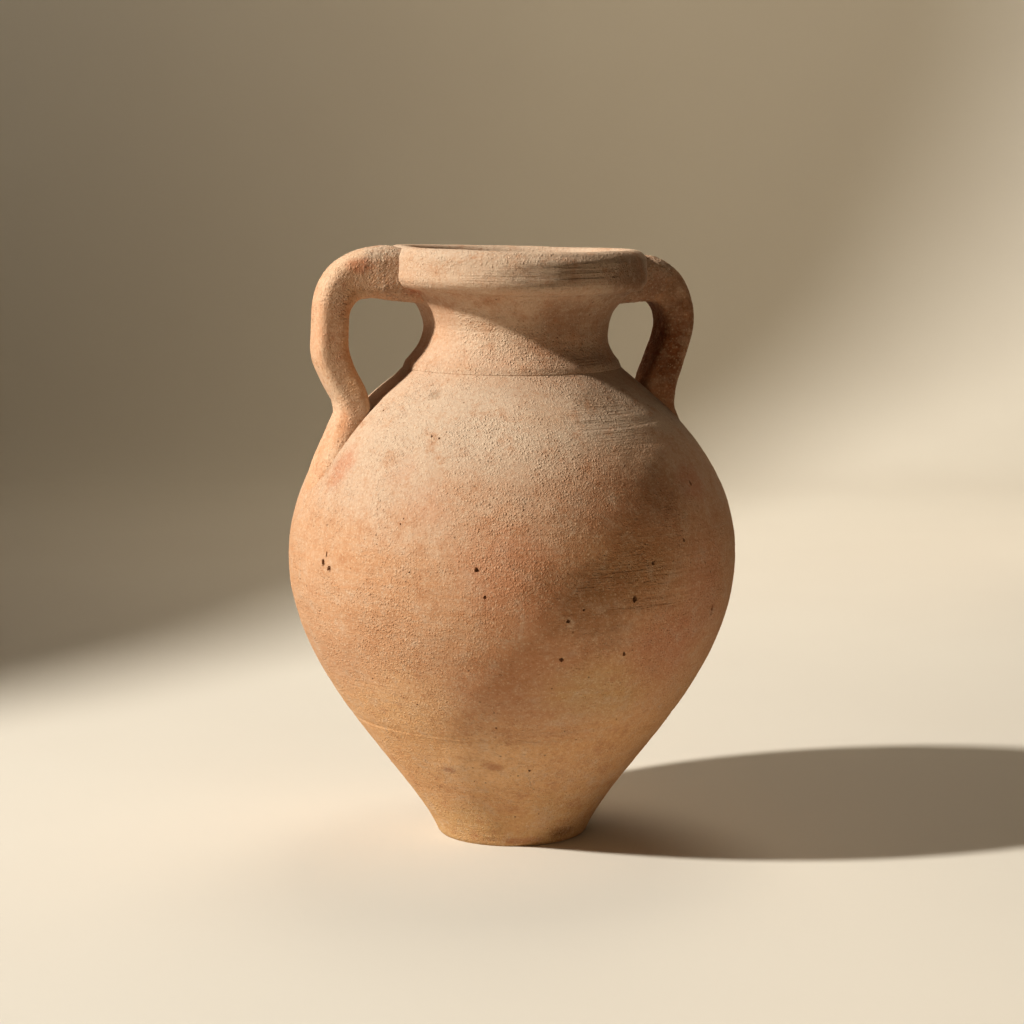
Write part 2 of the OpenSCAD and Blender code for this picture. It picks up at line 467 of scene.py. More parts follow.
class Finish:
    """A material being built, with short calls for the nodes that clay needs."""

    def __init__(self, name):
        self.material = bpy.data.materials.new(name)
        self.material.use_nodes = True
        self.tree = self.material.node_tree
        self.tree.nodes.clear()
        self.number = link_maths(self.tree, "number")
        self.vector = link_maths(self.tree, "vector")
        self.add = node_maker(self.tree)
        self.place = self.add("ShaderNodeTexCoord").outputs["Object"]

    def times(self, a, b):
        return self.number("MULTIPLY", a, b)

    def plus(self, a, b):
        return self.number("ADD", a, b)

    def minus(self, a, b):
        return self.number("SUBTRACT", a, b)

    def cloud(self, scale, detail=3.0, rough=0.55, shift=0.0):
        """Noise between 0 and 1. A scale of three numbers stretches it."""
        three = scale if isinstance(scale, tuple) else (scale, scale, scale)
        stretched = self.vector("MULTIPLY", self.place, three)
        moved = self.vector("ADD", stretched, (shift, shift * 0.7, shift * 1.3))
        return self.add("ShaderNodeTexNoise", {
            "Scale": 1.0, "Detail": detail, "Roughness": rough, "Vector": moved}).outputs[0]

    def band(self, value, low, high, out_low=0.0, out_high=1.0):
        """A smooth step of a value between two limits."""
        return self.add("ShaderNodeMapRange", {
            "Value": value, "From Min": low, "From Max": high, "To Min": out_low, "To Max": out_high,
        }, interpolation_type="SMOOTHSTEP").outputs[0]

    def ramp(self, value, stops):
        node = self.tree.nodes.new("ShaderNodeValToRGB")
        node.color_ramp.interpolation = "EASE"
        while len(node.color_ramp.elements) < len(stops):
            node.color_ramp.elements.new(0.5)
        for element, (position, colour) in zip(node.color_ramp.elements, stops):
            element.position = position
            element.color = (*colour, 1.0)
        self.tree.links.new(value, node.inputs[0])
        return node.outputs[0]

    def mix(self, share, a, b, blend="MIX"):
        a, b = ((*tone, 1.0) if isinstance(tone, tuple) else tone for tone in (a, b))
        node = self.add("ShaderNodeMix", {0: share, 6: a, 7: b}, data_type="RGBA", blend_type=blend)
        return node.outputs[2]

    def patch(self, at, size, ragged=0.5):
        """1 in the middle of a blob in space and 0 outside, with a ragged edge."""
        apart = self.vector("DIVIDE", self.vector("SUBTRACT", self.place, at), size)
        far = self.vector("LENGTH", apart)
        edge = self.plus(far, self.times(self.ragged, ragged))
        return self.band(edge, 1.0, 0.25)

    def over(self, places):
        """Sum of several blobs on the pot, from rows like those of DRAGGED."""
        total = 0.0
        for height, turn, wide, tall, strength in places:
            blob = self.patch(on_pot(height, turn), (wide * MM, wide * MM, tall * MM), 0.25)
            total = self.plus(total, self.times(blob, strength))
        return total

    def cells(self, scale, shift=0.0):
        """Grains: distance from each grain's middle, and a random number for each grain."""
        moved = self.vector("ADD", self.place, (shift, shift, shift))
        node = self.add("ShaderNodeTexVoronoi", {"Scale": scale, "Vector": moved})
        tone = self.add("ShaderNodeSeparateColor", {0: node.outputs["Color"]})
        return node.outputs["Distance"], tone.outputs[0]

    def bump(self, height, depth, under=None, strength=1.0):
        inputs = {"Strength": strength, "Distance": depth, "Height": height}
        if under is not None:
            inputs["Normal"] = under
        return self.add("ShaderNodeBump", inputs).outputs[0]

    def end_in(self, shader):
        self.add("ShaderNodeOutputMaterial", {"Surface": shader.outputs[0]})
        return self.material

    def matt(self, colour, normal, roughness, shine):
        """Ends the material in a dull surface with little shine."""
        return self.end_in(self.add("ShaderNodeBsdfPrincipled", {
            "Roughness": roughness, "Specular IOR Level": shine, "Base Color": colour, "Normal": normal}))


def on_pot(height, turn, out=0.0):
    """A point on the pot's outside from its height in mm and its turn round the axis in degrees."""
    r = pot_radius(height * MM) + out * MM
    a = math.radians(turn)
    return (r * math.cos(a), r * math.sin(a), height * MM)


# %% Colours of the clay, and of painted shade and painted light
CREAM = (0.62, 0.485, 0.38)
PEACH = (0.61, 0.405, 0.285)
ORANGE = (0.60, 0.345, 0.205)
RUSSET = (0.47, 0.225, 0.115)
TAN = (0.69, 0.405, 0.21)
OLIVE = (0.60, 0.385, 0.19)
BLUSH = (0.55, 0.245, 0.15)
# Near black: soot specks in the clay, and painted shade on the floors of the pits.
SOOT_AND_PIT_SHADE = (0.13, 0.07, 0.038)
# Dark brown, used only as painted shade: the shaded right of the neck and collar, the belly where it turns
# into shade, and the foot.
PAINTED_SHADE_DARK = (0.21, 0.085, 0.03)
CHALK = (0.80, 0.66, 0.50)
# Near black brown, used only as painted shade on the shaded right handle.
PAINTED_SHADE_NEAR_BLACK = (0.15, 0.055, 0.014)
# Brown, used only as painted shade on the shaded right of the belly and shoulder.
PAINTED_SHADE_BROWN = (0.24, 0.125, 0.055)
# Pale cream, used only as painted light on the lit front of the shoulder, neck and collar.
PAINTED_LIGHT_PALE = (0.76, 0.60, 0.47)
# Light yellow orange, used only as painted light low on the belly.
PAINTED_BOUNCE_LIGHT = (0.83, 0.53, 0.30)

# Clouds from the kiln and patches of painted shade and painted light: colour, height in mm, turn in degrees,
# size along and up in mm, and how strong.
KILN_CLOUDS = [
    (ORANGE, 165, 222, 85, 60, 0.3),
    (ORANGE, 120, 235, 60, 34, 0.4),
    (BLUSH, 200, 256, 56, 46, 0.4),
    (RUSSET, 116, 262, 74, 26, 0.40),
    (ORANGE, 88, 250, 60, 16, 0.5),
    # Painted shade: a dark brown patch on the belly where the lit side turns into shade.
    (PAINTED_SHADE_DARK, 215, 284, 74, 66, 0.42),
    (BLUSH, 262, 222, 18, 16, 0.35),
    # Painted shade: a dark band low on the foot where the pot meets the floor.
    (PAINTED_SHADE_DARK, 8, 292, 16, 6, 0.6),
    (RUSSET, 176, 262, 42, 26, 0.35),
    (RUSSET, 128, 252, 46, 22, 0.4),
    (OLIVE, 122, 282, 62, 34, 0.75),
    (TAN, 205, 283, 58, 40, 0.5),
    (BLUSH, 145, 298, 46, 40, 0.5),
    (BLUSH, 182, 312, 40, 56, 0.4),
    (RUSSET, 240, 285, 60, 40, 0.4),
    (BLUSH, 250, 314, 26, 18, 0.5),
    (BLUSH, 245, 232, 30, 20, 0.22),
    (OLIVE, 30, 290, 50, 26, 0.55),
    (CREAM, 262, 210, 66, 46, 0.5),
    (OLIVE, 150, 40, 80, 46, 0.6),
    (RUSSET, 210, 95, 60, 50, 0.45),
    (CREAM, 250, 140, 70, 50, 0.5),
    (BLUSH, 110, 150, 50, 32, 0.5),
    # Painted shade: brown patches on the right of the belly and shoulder, where the lit side turns into shade
    # and the collar's shadow falls.
    (PAINTED_SHADE_BROWN, 176, 275, 50, 40, 0.42),
    (PAINTED_SHADE_BROWN, 200, 286, 40, 30, 0.25),
    (PAINTED_SHADE_BROWN, 303, 292, 26, 12, 0.4),
    (PAINTED_SHADE_BROWN, 252, 297, 34, 34, 0.34),
    (PAINTED_SHADE_BROWN, 196, 272, 44, 24, 0.42),
    # Painted light: the lit front of the shoulder is painted paler.
    (PAINTED_LIGHT_PALE, 288, 258, 56, 42, 0.5),
    # Partly a russet stain on the clay and partly painted shade: the front of the lower belly is darkened
    # here.
    (RUSSET, 148, 258, 62, 24, 0.5),
    # Painted light: the lower belly at the front and left is painted lighter, standing in for light thrown up
    # from the floor.
    (PAINTED_BOUNCE_LIGHT, 66, 247, 58, 34, 0.85),
    (PAINTED_BOUNCE_LIGHT, 112, 222, 52, 40, 0.45),
    (RUSSET, 60, 228, 7, 4, 0.8),
    (RUSSET, 65, 248, 10, 5.5, 0.8),
    (SOOT_AND_PIT_SHADE, 307, 220, 7, 6, 0.35),
    # Painted shade: the three marks below darken the clay just above the heel, where the pot meets the floor.
    (RUSSET, 4, 258, 15, 4, 0.75),
    (RUSSET, 5, 272, 11, 3.5, 0.75),
    (PAINTED_SHADE_DARK, 5, 240, 10, 3, 0.4),
]

# Where a finger dragged sand over the damp wall: height, turn, size along and up, and how deep.
DRAGGED = [
    (290, 294, 46, 24, 1.0), (196, 284, 56, 16, 0.6), (176, 290, 50, 8, 0.6), (384, 268, 66, 13, 1.3),
    (326, 286, 44, 9, 0.9), (336, 262, 60, 8, 0.3), (86, 256, 70, 14, 0.3), (240, 120, 60, 30, 0.4),
]


# Marks on neck, collar and handles, several of them painted shade and painted light: colour, place and size
# in mm (right, behind, up), and how strong.
MARKS = [
    (BLUSH, (-107, -17, 389), (13, 9, 7), 0.8), (BLUSH, (-72, -22, 372), (9, 12, 6), 0.6),
    (BLUSH, (-128, -40, 262), (22, 16, 26), 0.7), (RUSSET, (-120, -17, 280), (10, 8, 26), 0.6),
    # Painted shade: the first mark on the next line gives the left handle's front-facing side, which lies in
    # shade, a warmer orange tone.
    (TAN, (-112, -17, 340), (12, 8, 52), 0.45), (CREAM, (-104, 0, 402), (34, 24, 10), 0.6),
    # Painted shade: the right handle, which stands on the shaded side, is painted near black-brown.
    (PAINTED_SHADE_NEAR_BLACK, (106, 0, 326), (34, 42, 96), 1.0),
    # Painted shade: the dark brown marks on this line and the next darken the shaded right of the neck and
    # the collar's right end.
    (PAINTED_SHADE_DARK, (62, -42, 346), (56, 50, 32), 0.35), (PAINTED_SHADE_DARK, (18, -60, 356), (28, 26, 20), 0.5),
    (PAINTED_SHADE_DARK, (68, -58, 382), (42, 38, 20), 0.7), (CREAM, (96, 0, 402), (26, 26, 8), 0.6),
    (RUSSET, (100, -20, 292), (26, 20, 22), 0.5), (CREAM, (-62, -62, 402), (60, 40, 9), 0.5),
    # Painted light: the two marks below make the lit front of the neck and collar paler.
    (PAINTED_LIGHT_PALE, (-32, -60, 350), (44, 42, 30), 0.6), (PAINTED_LIGHT_PALE, (-22, -80, 384), (66, 44, 17), 0.45),
]


def clay(name, slip=1.0, warmth=0.0, sand=1.0, worn=0.0, tint=(0.90, 0.895, 0.88)):
    """Sandy fired clay. Slip whitens it, warmth reddens it, sand deepens the grain, worn adds scuffs.

    The tint multiplies all colours except the painted shade on the floors of the pits.
    """
    f = Finish(name)
    broad = f.minus(f.cloud(26, 5.0, 0.6, 2.0), 0.5)
    crumbly = f.minus(f.cloud(140, 5.0, 0.7, 3.0), 0.5)
    f.ragged = f.plus(f.times(broad, 1.6), f.times(crumbly, 1.6))
    spot = f.add("ShaderNodeSeparateXYZ", {0: f.place})
    wander = f.times(f.minus(f.cloud((9, 9, 14), 4.0, 0.55, 5.0), 0.5), 0.22)
    level = f.plus(f.number("DIVIDE", spot.outputs[2], top_z), wander)
    colour = f.ramp(level, [
        (0.00, OLIVE), (0.09, TAN), (0.22, TAN), (0.34, ORANGE), (0.50, ORANGE),
        (0.62, PEACH), (0.74, CREAM), (0.88, PEACH), (1.00, CREAM)])
    # Painted shade and painted light come in with the clouds and marks, mixed like the clay's own colours.
    for tone, height, turn, wide, tall, strength in KILN_CLOUDS:
        mask = f.patch(on_pot(height, turn), (wide * MM, wide * MM, tall * MM))
        colour = f.mix(f.times(mask, strength), colour, tone)
    for tone, at, size, strength in MARKS:
        mask = f.patch(tuple(v * MM for v in at), tuple(v * MM for v in size))
        colour = f.mix(f.times(mask, strength), colour, tone)
    if warmth:
        colour = f.mix(f.times(f.band(f.cloud(60, 4.0), 0.4, 0.7), warmth), colour, BLUSH)
    streaks = f.cloud((7, 7, 260), 4.0, 0.6, 9.0)
    dry = f.band(f.times(streaks, f.cloud(14, 3.0)), 0.22, 0.38)
    colour = f.mix(f.times(dry, 0.16 * slip), colour, CREAM)
    drift = f.cloud((22, 22, 34), 4.0, 0.6, 14.0)
    colour = f.mix(f.band(drift, 0.52, 0.72, 0.0, 0.3), colour, ORANGE)
    mottle = f.cloud(85, 6.0, 0.7, 4.0)
    colour = f.mix(f.band(mottle, 0.5, 0.72, 0.0, 0.55), colour, RUSSET)
    colour = f.mix(f.band(mottle, 0.5, 0.3, 0.0, 0.4), colour, CREAM)
    far, tone = f.cells(720)
    colour = f.mix(f.band(tone, 0.55, 1.0, 0.0, 0.13 * sand), colour, CHALK)
    colour = f.mix(f.band(tone, 0.45, 0.0, 0.0, 0.17 * sand), colour, RUSSET)
    dust = f.cloud(420, 5.0, 0.8, 17.0)
    colour = f.mix(f.band(dust, 0.5, 0.68, 0.0, 0.18), colour, CHALK)
    colour = f.mix(f.band(dust, 0.5, 0.32, 0.0, 0.24), colour, RUSSET)
    pale = f.times(f.band(far, 0.42, 0.2), f.band(tone, 0.72, 0.76))
    dark = f.times(f.band(far, 0.36, 0.18), f.band(tone, 0.1, 0.07))
    colour = f.mix(f.times(pale, 0.3 * sand), colour, CHALK)
    colour = f.mix(f.times(dark, 0.3 * sand), colour, RUSSET)
    speck_far, speck_tone = f.cells(210, 0.4)
    speck = f.times(f.band(speck_far, 0.2, 0.1), f.band(speck_tone, 0.93, 0.95))
    colour = f.mix(f.times(speck, 0.6), colour, SOOT_AND_PIT_SHADE)
    if worn:
        scuff = f.band(f.cloud((30, 30, 70), 5.0, 0.65, 12.0), 0.5, 0.68)
        colour = f.mix(f.times(scuff, worn), colour, OLIVE)
    colour = f.mix(1.0, colour, tint, "MULTIPLY")
    # Painted shade: the floors of the pits are painted toward near black by the point attribute from the
    # pits.
    pit_shade = f.add("ShaderNodeAttribute", attribute_name="pit_shade")
    colour = f.mix(pit_shade.outputs["Fac"], colour, SOOT_AND_PIT_SHADE)
    throw = f.bump(f.cloud((9, 9, 420), 3.0, 0.6, 1.0), 0.5 * MM, None, 0.6)
    dragged = f.times(f.cloud((14, 14, 560), 4.0, 0.7, 21.0), f.over(DRAGGED))
    throw = f.bump(dragged, 2.2 * MM, throw, 1.0)
    soft = f.bump(f.cloud(120, 2.0, 0.5, 6.0), 0.45 * MM * sand, throw, 0.7)
    near, height = f.cells(640, 0.9)
    fine, low = f.cells(1080, 1.7)
    coarse_grain = f.times(f.band(near, 0.75, 0.1), f.number("POWER", height, 2.0))
    fine_grain = f.times(f.band(fine, 0.75, 0.1), low)
    grit = f.plus(coarse_grain, f.times(fine_grain, 0.5))
    rubbed = f.band(f.cloud(24, 3.0, 0.55, 8.0), 0.36, 0.62, 0.35, 1.0)
    grain = f.bump(f.times(grit, rubbed), 0.66 * MM * sand, soft, 1.0)
    grain = f.bump(dust, 0.12 * MM * sand, grain, 0.8)
    return f.matt(colour, grain, 0.93, 0.28)


body_clay = clay("body_clay")
base_clay = clay("base_clay", slip=0.4, sand=1.2, worn=0.6)
neck_clay = clay("neck_clay", slip=1.2)
handle_clay = clay("handle_clay", slip=0.6, warmth=0.15, tint=(0.99, 0.93, 0.86))
joining_clay = clay("joining_clay", slip=0.6, warmth=0.3, sand=1.5)
seam_clay = clay("seam_clay", slip=1.1, warmth=0.08, sand=1.15)
print("clays:", [m.name for m in bpy.data.materials if m.name.endswith("_clay") and m.use_nodes])

# %% [markdown]
# ## Turning the sections
# Each section becomes a small object that only carries its points and the directions they face. The tree
# turns it into a wall. All walls share one seed, so ridges and lumps run on from one section to the next.

# %% Throw every section


def section_object(name, section):
    mesh = bpy.data.meshes.new(name + "_section")
    points = [(r, 0.0, z) for r, z, _, _ in section]
    mesh.from_pydata(points, [(i, i + 1) for i in range(len(points) - 1)], [])
    facing = mesh.attributes.new("facing", "FLOAT_VECTOR", "POINT")
    facing.data.foreach_set("vector", np.array([(a, 0.0, b) for _, _, a, b in section]).ravel())
    return put(name + "_section", mesh)


WHEEL_SEED = 3.0
# Ridge depth and spacing, lump depth and grit depth of each section, in mm.
RIDGES = {
    "base_disc": (0.3, 5, 0.8, 0.2),
    "lower_body": (0.9, 7, 1.3, 0.05),
    "belly": (0.9, 8, 1.5, 0.05),
    "shoulder": (0.9, 6, 1.5, 0.05),
    "neck": (1.2, 5, 1.3, 0.08),
    "rim_collar": (1.5, 4, 1.5, 0.1),
    "neck_coil": (0.9, 6, 1.8, 0.3),
}
CLAYS = {
    "base_disc": base_clay, "lower_body": body_clay, "belly": body_clay, "shoulder": body_clay,
    "neck": neck_clay, "rim_collar": neck_clay, "neck_coil": seam_clay,
}


def throw(name):
    section, around = sections[name]
    values = relief_values(*RIDGES[name], WHEEL_SEED, CLAYS[name])
    values["Rows"] = len(section) - 1 if name == "base_disc" else len(section)
    values["Around"] = around
    return run_tree(thrown_wall, section_object(name, section), name + "_clay", values)


walls = {name: throw(name) for name in sections}
for name, piece in walls.items():
    print(name, len(piece.data.polygons), "faces, clay", [m.name for m in piece.data.materials])

# %% [markdown]
# ## Pulled handles
# A strap handle is pulled from a lump of clay, so it is thickest where it leaves the collar, thinnest in
# the bow, and spreads again where the thumb pushes it down over the shoulder. It could be a curve with a
# bevel, but a bevel keeps one section all the way. Here a few stations give the middle line and the size
# and squareness of the strap at each place, and a smooth curve through them gives the rings of the mesh.

# %% Stations of the two straps
# Distance from the axis and height of the middle, half thickness, half width (mm), and how square it is.
LEFT_STRAP = [
    (79, 379.8, 18.6, 20.5, 4.6),
    (92, 382.0, 17.2, 19.5, 4.6),
    (106, 380.5, 15.4, 17.8, 5.0),
    (118.5, 374.0, 13.0, 17.0, 5.2),
    (126, 361.5, 11.0, 17.0, 5.2),
    (127.4, 347, 10.6, 17.0, 5.2),
    (125.4, 331, 10.6, 17.0, 5.2),
    (119.0, 315.5, 10.6, 17.3, 5.0),
    (112.0, 302, 10.4, 18.5, 4.6),
    (111.0, 290, 10.4, 20.0, 3.8),
    (116.5, 279.5, 9.4, 21.5, 3.0),
    (124.5, 268.5, 7.0, 23.0, 2.2),
    (132.0, 257.5, 4.4, 22.0, 2.0),
    (138.5, 246, 1.6, 16.0, 1.9),
    (141.5, 238, 0.3, 8.0, 1.9),
]
RIGHT_STRAP = [
    (79, 378.4, 17.0, 19.5, 4.6),
    (90, 379.8, 15.6, 18.5, 4.6),
    (101.5, 375.5, 13.8, 17.2, 5.0),
    (108.8, 365.0, 11.8, 17.0, 5.2),
    (111.8, 351, 10.8, 17.0, 5.2),
    (111.0, 336, 10.6, 17.0, 5.2),
    (107.0, 321, 10.7, 17.0, 5.0),
    (102.5, 308, 11.0, 17.3, 4.8),
    (101.2, 298, 11.0, 18.5, 4.2),
    (103.2, 289, 10.0, 20.5, 3.4),
    (109.5, 280, 7.4, 22.0, 2.6),
    (117.5, 270.5, 4.6, 22.0, 2.0),
    (125.5, 261, 1.6, 16.0, 1.9),
    (129.5, 254, 0.3, 8.0, 1.9),
]


def on_frame(stations, reach):
    """Scales stations so that the bow reaches as far out as the CAD strap and the heights follow the rim."""
    s = np.array(stations, float)
    bow = s[s[:, 1] > 300]
    s[:, 0] *= reach / MM / (bow[:, 0] + bow[:, 2]).max()
    s[:, 1] *= top_z / MM / 400
    return s


LEFT_STRAP = on_frame(LEFT_STRAP, left_reach)
RIGHT_STRAP = on_frame(RIGHT_STRAP, right_reach)


def ease(share):
    """A soft start and a soft end between 0 and 1."""
    return share * share * (3 - 2 * share)


def through(stations, spacing):
    """A smooth curve through the stations (Catmull-Rom), in even steps along the middle line."""
    p = np.array(stations, float)
    p = np.vstack([2 * p[0] - p[1], p, 2 * p[-1] - p[-2]])
    fine = []
    for i in range(1, len(p) - 2):
        t = np.linspace(0, 1, 24, endpoint=False)[:, None]
        a, b, c, d = p[i - 1], p[i], p[i + 1], p[i + 2]
        bend, twist = 2 * a - 5 * b + 4 * c - d, 3 * b - 3 * c + d - a
        fine.append(0.5 * (2 * b + (c - a) * t + bend * t**2 + twist * t**3))
    fine = np.vstack([*fine, p[-2][None]])
    along = np.concatenate([[0], np.cumsum(np.linalg.norm(np.diff(fine[:, :2], axis=0), axis=1))])
    even = np.linspace(0, along[-1], max(3, round(along[-1] / spacing)))
    return np.stack([np.interp(even, along, fine[:, k]) for k in range(fine.shape[1])], 1)


# %% A strap from its rings


def strap_rings(line, around):
    """Rings of points across the line: x out from the axis, y across the strap, z up."""
    way = np.gradient(line[:, :2], axis=0)
    way /= np.linalg.norm(way, axis=1)[:, None]
    outward = np.stack([-way[:, 1], way[:, 0]], 1)
    a = np.linspace(0, math.tau, around, endpoint=False)
    rings = []
    for (out, up, thick, wide, square), n in zip(line, outward):
        c = np.sign(np.cos(a)) * np.abs(np.cos(a)) ** (2 / square)
        s = np.sign(np.sin(a)) * np.abs(np.sin(a)) ** (2 / square)
        groove = 0.45 * np.cos(3 * math.pi * s) * (c > 0) * min(1.0, thick / 9)
        across = wide * s
        hug = across**2 / (2 * out) * max(0.0, min(1.0, (300 - up) / 14))
        depth = (thick + groove) * c - hug
        rings.append(np.stack([out + depth * n[0], across, up + depth * n[1]], 1))
    return seat(np.array(rings) * MM)


def seat(rings):
    """Bends the first rings so that the end of the strap stays inside the wall it was stuck to."""
    heights = rim_z + np.array([-45, -30, -15, -4, 5, 30]) * MM
    inside_wall = [pot_radius(h) - 5 * MM for h in heights[:4]] + [MOUTH + 4 * MM, MOUTH + 5 * MM]
    first = rings[0]
    wall = np.interp(first[:, 2], heights, inside_wall)
    shift = np.sqrt(wall**2 - first[:, 1] ** 2) - first[:, 0]
    gone = np.linalg.norm(rings.mean(1) - first.mean(0), axis=1)
    rings[:, :, 0] += ease(np.clip(1 - gone / (16 * MM), 0, 1))[:, None] * shift
    return rings


AROUND_STRAP = 132


def skin(name, rings, material, side):
    """Closes rings into a mesh and caps both ends. Side is -1 for the left handle, 1 for the right."""
    rows, around = rings.shape[:2]
    points = rings.reshape(-1, 3) * (side, side, 1)
    faces = []
    for i in range(rows - 1):
        for j in range(around):
            k = (j + 1) % around
            faces.append((i * around + j, i * around + k, (i + 1) * around + k, (i + 1) * around + j))
    first, last = rings[0].mean(0) * (side, side, 1), rings[-1].mean(0) * (side, side, 1)
    points = np.vstack([points, first, last])
    a, b = rows * around, rows * around + 1
    faces += [(a, (j + 1) % around, j) for j in range(around)]
    faces += [(b, (rows - 1) * around + j, (rows - 1) * around + (j + 1) % around) for j in range(around)]
    mesh = bpy.data.meshes.new(name)
    mesh.from_pydata([tuple(p) for p in points], [], faces)
    bm = bmesh.new()
    bm.from_mesh(mesh)
    bmesh.ops.recalc_face_normals(bm, faces=bm.faces)
    bm.to_mesh(mesh)
    bm.free()
    mesh.materials.append(material)
    return put(name, mesh)


# %% [markdown]
# The straps then get their own tree. It uses the same relief as the walls, so the clay is plainly the same
# clay, but the ridges are weak and the lumps stronger, because hands and not a wheel shaped this piece.

# %% Hand-worked clay tree


def worked_clay_tree():
    tree, inputs, result = node_group("Hand-worked clay", RELIEF)
    number, vector, add = link_maths(tree, "number"), link_maths(tree, "vector"), node_maker(tree)
    relief = clay_relief(add, inputs, number, vector)
    facing = add("GeometryNodeInputNormal").outputs[0]
    finish_tree(add, push_out(add, inputs["Geometry"], facing, relief), inputs, result)
    return tree


worked_clay = worked_clay_tree()


def pull_handle(name, stations, side):
    rings = strap_rings(through(stations, 1.05), AROUND_STRAP)
    base = skin(name + "_rings", rings, handle_clay, side)
    return run_tree(worked_clay, base, name, relief_values(0.1, 9, 1.5, 0.45, 11.0 + side, handle_clay))


handles = {
    "left": pull_handle("handle_left_strap", LEFT_STRAP, -1),
    "right": pull_handle("handle_right_strap", RIGHT_STRAP, 1),
}
for name, piece in handles.items():
    print(name, "strap:", len(piece.data.polygons), "faces")

# %% [markdown]
# ## Packing at the collar
# Where a strap meets the collar, soft clay was pressed round it and never wiped clean. It is a rough
# sleeve: it starts a little proud of the strap and sinks under its surface after two finger widths, so its
# edge is ragged where the two surfaces cross.

# %% Rough sleeves round the strap roots


# How far out and how far down the packing reaches, in mm.
PACKED_OUT, PACKED_DOWN = 121, 366


def packing(name, stations, side, seed):
    line = through(stations, 0.8)
    line = line[(line[:, 0] < PACKED_OUT) & (line[:, 1] > PACKED_DOWN)]
    share = np.linspace(0, 1, len(line))
    proud = 0.8 - 2.4 * share**1.3 - 1.6 * np.exp(-share * 12)
    line[:, 2] += proud
    line[:, 3] += proud + 0.2
    base = skin(name + "_rings", strap_rings(line, AROUND_STRAP), joining_clay, side)
    return run_tree(worked_clay, base, name, relief_values(0, 9, 2.2, 1.3, seed, joining_clay))


packings = {
    "left": packing("handle_left_packing", LEFT_STRAP, -1, 21.0),
    "right": packing("handle_right_packing", RIGHT_STRAP, 1, 33.0),
}

# %% [markdown]
# ## Pits
# Bits of straw and lime burn out in the kiln and leave pits one to three millimetres wide. A bump map can't
# give them a dark floor, so the mesh is cut finer round each one and pushed in, and the floor is also painted
# darker, as painted shade. Where a pit sits is given by its height and its turn round the pot. The few large
# ones are listed one by one, and a seeded random set is spread all round.

# %% Where the pits are
# Height (mm), turn (degrees), width and depth (mm), and how much taller than wide.
NAMED_PITS = [
    (199, 201.0, 3.4, 2.4, 1.4), (196, 203.6, 3.8, 2.4, 0.9), (204, 246.6, 3.8, 1.6, 0.75),
    (187, 248.6, 2.3, 1.5, 1.0), (171, 268.7, 2.5, 2.2, 1.1), (182.5, 286.0, 3.0, 2.5, 1.5),
    (145, 267.6, 3.0, 1.8, 0.8), (146, 285.0, 2.2, 1.8, 1.4), (216, 303.0, 2.6, 1.7, 1.2),
    (249.5, 313.0, 2.8, 1.8, 1.2), (165, 317.0, 3.0, 2.4, 2.4),
    (204, 291.5, 3.0, 1.3, 0.7), (178, 272.5, 1.6, 0.9, 1.0),
    (325, 258.5, 1.9, 1.3, 0.9), (321.5, 309.0, 2.6, 1.5, 1.4), (283, 228.0, 1.8, 0.8, 1.0),
    (205, 202.3, 0.9, 1.0, 4.5), (241, 258.0, 1.3, 0.9, 1.0), (96, 250.0, 1.5, 0.9, 1.0),
    (62, 262.0, 1.6, 0.9, 0.8), (110, 226.0, 1.3, 0.9, 1.0), (230, 226.0, 1.2, 0.8, 1.0),
]
lottery = np.random.default_rng(7)
SCATTERED_PITS = [
    (lottery.uniform(24, 316), lottery.uniform(0, 360), width, 0.55 * width, lottery.uniform(0.6, 1.5))
    for width in lottery.uniform(0.6, 1.4, 60)
]
PITTED = {
    "lower_body": (disc_z, joint_z), "belly": (joint_z, belly_z), "shoulder": (belly_z, shoulder_z),
    "neck": (shoulder_z, rim_z),
}
FREE_EDGE = 2.5 * MM

# %% Cut finer and press in


def search_tree(bm):
    bm.verts.ensure_lookup_table()
    tree = KDTree(len(bm.verts))
    for v in bm.verts:
        tree.insert(v.co, v.index)
    tree.balance()
    return tree


